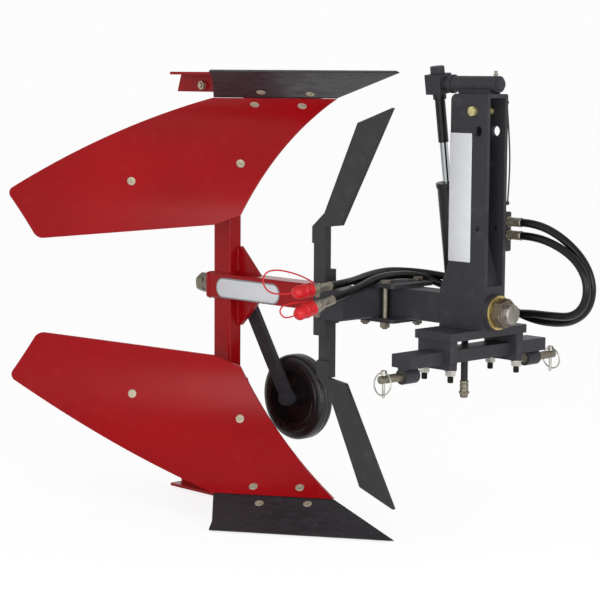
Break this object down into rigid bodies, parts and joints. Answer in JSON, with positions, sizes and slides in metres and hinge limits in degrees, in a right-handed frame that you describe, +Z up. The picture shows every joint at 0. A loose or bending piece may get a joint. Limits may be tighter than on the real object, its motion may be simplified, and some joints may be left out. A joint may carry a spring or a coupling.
{
  "type": "reversible plough",
  "caption": "Tractor-mounted reversible plough: two opposed mouldboard bodies on an offset beam that a hydraulic cylinder turns over behind a three-point headstock.",
  "frame": {"origin": "midway between the two lower hitch pins, on their common axis", "axes": "+X is the direction of travel, +Y the left-hand side, +Z up"},
  "size_m": [1.1879, 0.6614, 0.9201],
  "materials": {
    "red_paint": "gloss",
    "grey_paint": "satin",
    "share_steel": "satin",
    "zinc": "satin",
    "yellow_zinc": "satin",
    "machined_steel": "machined",
    "chrome_rod": "polished",
    "brass_fitting": "satin",
    "hose_rubber": "matt",
    "wheel_rubber": "matt",
    "wheel_plastic": "satin",
    "cap_plastic": "gloss",
    "cord": "matt"
  },
  "bodies": {
    "headstock": {"base_plate": "grey_paint", "clamp_saddles": "grey_paint", "clamp_straps": "grey_paint", "clamp_studs": "zinc", "crossbar": "grey_paint", "hitch_pins": "zinc", "tower": "grey_paint", "tower_bolt": "yellow_zinc", "swivel_tube": "grey_paint", "swivel_shaft": "machined_steel", "grease_nipple": "brass_fitting", "pivot_sleeve": "machined_steel", "valve_block": "grey_paint", "hose_unions": "zinc", "hose_a_front": "hose_rubber", "hose_b_front": "hose_rubber", "drain_hose": "hose_rubber", "drain_fitting": "zinc", "lanyard": "cord"},
    "linch_near": {"linch_pin_near": "zinc"},
    "linch_far": {"linch_pin_far": "zinc"},
    "ring_near": {"linch_ring_near": "zinc"},
    "ring_far": {"linch_ring_far": "zinc"},
    "cylinder": {"cylinder_barrel": "grey_paint", "cylinder_gland": "grey_paint"},
    "rod": {"piston_rod": "chrome_rod", "rod_sleeve": "grey_paint", "swivel_block": "grey_paint", "block_bolt": "grey_paint"},
    "wheel_carrier": {"wheel_arm": "grey_paint"},
    "wheel": {"wheel_hub": "wheel_plastic", "wheel_tyre": "wheel_rubber"},
    "turning_frame": {"body_bolts": "zinc", "body_post": "red_paint", "carrier_tube": "red_paint", "corner_bolts": "zinc", "corner_plates": "grey_paint", "crank_pin": "machined_steel", "cross_arm": "grey_paint", "draw_stud": "zinc", "dust_caps": "cap_plastic", "gussets": "red_paint", "hose_a_rear": "hose_rubber", "hose_b_rear": "hose_rubber", "hose_couplers": "zinc", "knife_bolts": "zinc", "lower_frog": "red_paint", "lower_knife": "share_steel", "lower_landside": "red_paint", "lower_mouldboard": "red_paint", "lower_share": "share_steel", "main_beam": "grey_paint", "pivot_nut": "machined_steel", "pivot_shaft": "machined_steel", "thrust_washer": "yellow_zinc", "upper_frog": "red_paint", "upper_knife": "share_steel", "upper_landside": "red_paint", "upper_mouldboard": "red_paint", "upper_share": "share_steel"}
  },
  "joints": [
    {"name": "turnover", "type": "hinge", "parent": "headstock", "child": "turning_frame", "pos_m": [0, 0, 0.11], "axis": [1, 0, 0], "range_deg": [0, 180]},
    {"name": "cylinder_swing", "type": "hinge", "parent": "turning_frame", "child": "cylinder", "pos_m": [-0.094, 0.065, 0.11], "axis": [1, 0, 0], "range_deg": [-197.49, 0.3]},
    {"name": "rod_slide", "type": "slide", "parent": "cylinder", "child": "rod", "axis": [0, -0.1495, 0.9888], "range_m": [-0.0699, 0]},
    {"name": "linch_near_pull", "type": "slide", "parent": "headstock", "child": "linch_near", "axis": [0, 0, 1], "range_m": [0, 0.075]},
    {"name": "linch_far_pull", "type": "slide", "parent": "headstock", "child": "linch_far", "axis": [0, 0, 1], "range_m": [0, 0.075]},
    {"name": "ring_near_open", "type": "hinge", "parent": "linch_near", "child": "ring_near", "pos_m": [0, -0.243, 0.0129], "axis": [-1, 0, 0], "range_deg": [0, 95.5]},
    {"name": "ring_far_open", "type": "hinge", "parent": "linch_far", "child": "ring_far", "pos_m": [0, 0.243, 0.0129], "axis": [1, 0, 0], "range_deg": [0, 95.5]},
    {"name": "wheel_swing", "type": "hinge", "parent": "turning_frame", "child": "wheel_carrier", "pos_m": [-0.645, -0.013, 0.11], "axis": [0, -1, 0], "range_deg": [0, 115.73]},
    {"name": "wheel_spin", "type": "hinge", "parent": "wheel_carrier", "child": "wheel", "pos_m": [-0.498, 0.017, -0.124], "axis": [0, 1, 0], "continuous": true}
  ],
  "couplings": [
    {"joint": "cylinder_swing", "follows": "turnover", "ratio": -1.0955},
    {"joint": "ring_near_open", "follows": "linch_near_pull", "rad_per_m": 22.108},
    {"joint": "ring_far_open", "follows": "linch_far_pull", "rad_per_m": 22.108}
  ]
}
